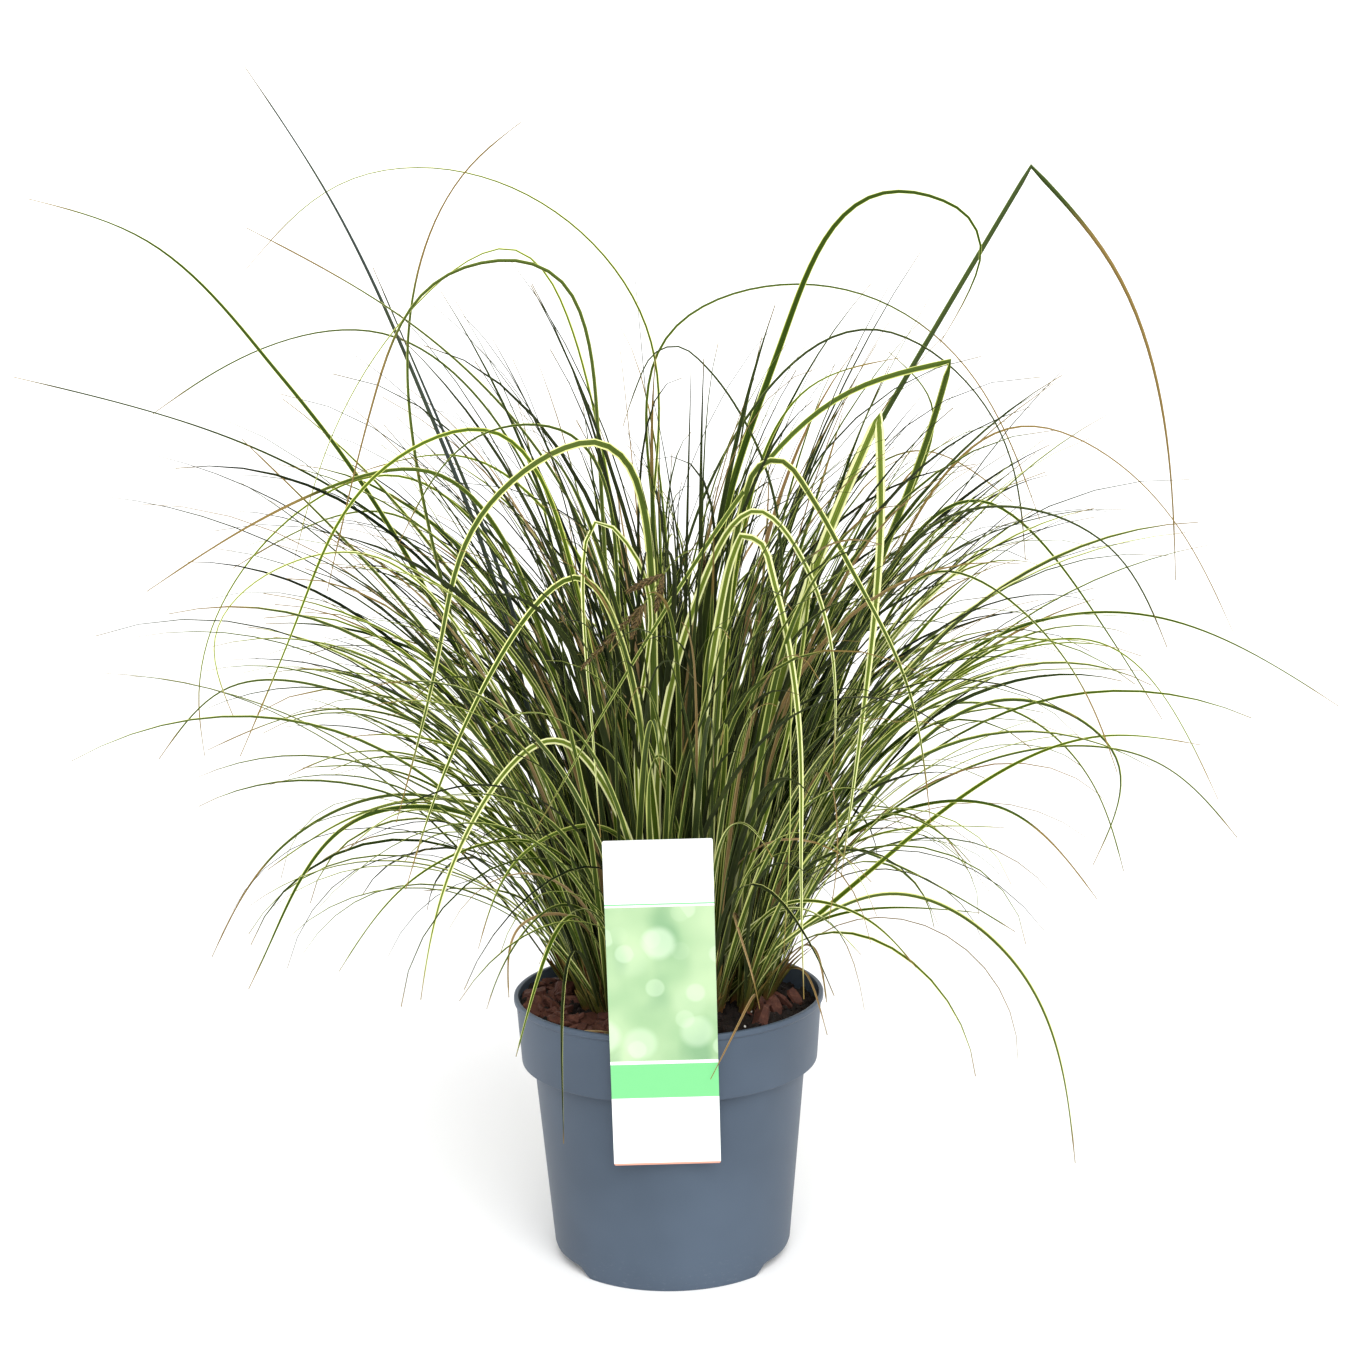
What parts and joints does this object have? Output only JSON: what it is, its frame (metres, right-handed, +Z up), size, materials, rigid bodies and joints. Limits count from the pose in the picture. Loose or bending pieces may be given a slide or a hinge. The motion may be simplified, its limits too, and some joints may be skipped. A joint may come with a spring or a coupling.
{
  "type": "potted carex sedge",
  "caption": "Variegated carex sedge with long arching leaves in a round nursery pot, with a plain label card hooked over the rim.",
  "frame": {"origin": "middle of the pot's base, on the surface that the pot stands on", "axes": "+Z up along the pot's axis, -Y towards the front, where the label hangs, +X to the viewer's right"},
  "size_m": [0.816, 0.735, 0.725],
  "materials": {
    "pot": "matte",
    "soil": "rough, crumbly",
    "label": "satin",
    "leaf": "satin, green with cream margins",
    "flower": "matte"
  },
  "bodies": {
    "root": {"pot": "pot", "soil": "soil", "label": "label", "flower_stem": "flower", "sedge_tuft_01": "leaf", "sedge_tuft_02": "leaf", "sedge_tuft_03": "leaf", "sedge_tuft_04": "leaf", "sedge_tuft_05": "leaf", "sedge_tuft_06": "leaf", "sedge_tuft_07": "leaf", "sedge_tuft_08": "leaf", "sedge_tuft_09": "leaf", "sedge_tuft_10": "leaf", "sedge_tuft_11": "leaf", "sedge_tuft_12": "leaf", "sedge_tuft_13": "leaf", "sedge_tuft_14": "leaf", "sedge_tuft_15": "leaf", "sedge_tuft_16": "leaf", "sedge_tuft_17": "leaf", "sedge_tuft_18": "leaf", "sedge_tuft_19": "leaf", "sedge_tuft_20": "leaf", "sedge_tuft_21": "leaf", "sedge_tuft_22": "leaf", "sedge_tuft_23": "leaf", "sedge_tuft_24": "leaf", "sedge_tuft_25": "leaf", "sedge_tuft_26": "leaf", "sedge_tuft_27": "leaf", "sedge_tuft_28": "leaf", "sedge_tuft_29": "leaf", "sedge_tuft_30": "leaf", "sedge_tuft_31": "leaf", "sedge_tuft_32": "leaf", "sedge_tuft_33": "leaf", "sedge_tuft_34": "leaf", "sedge_tuft_35": "leaf", "sedge_tuft_36": "leaf", "sedge_tuft_37": "leaf", "sedge_tuft_38": "leaf", "sedge_tuft_39": "leaf", "sedge_tuft_40": "leaf", "sedge_tuft_41": "leaf", "sedge_tuft_42": "leaf", "sedge_tuft_43": "leaf", "sedge_tuft_44": "leaf", "sedge_tuft_45": "leaf", "sedge_tuft_46": "leaf"}
  },
  "joints": []
}
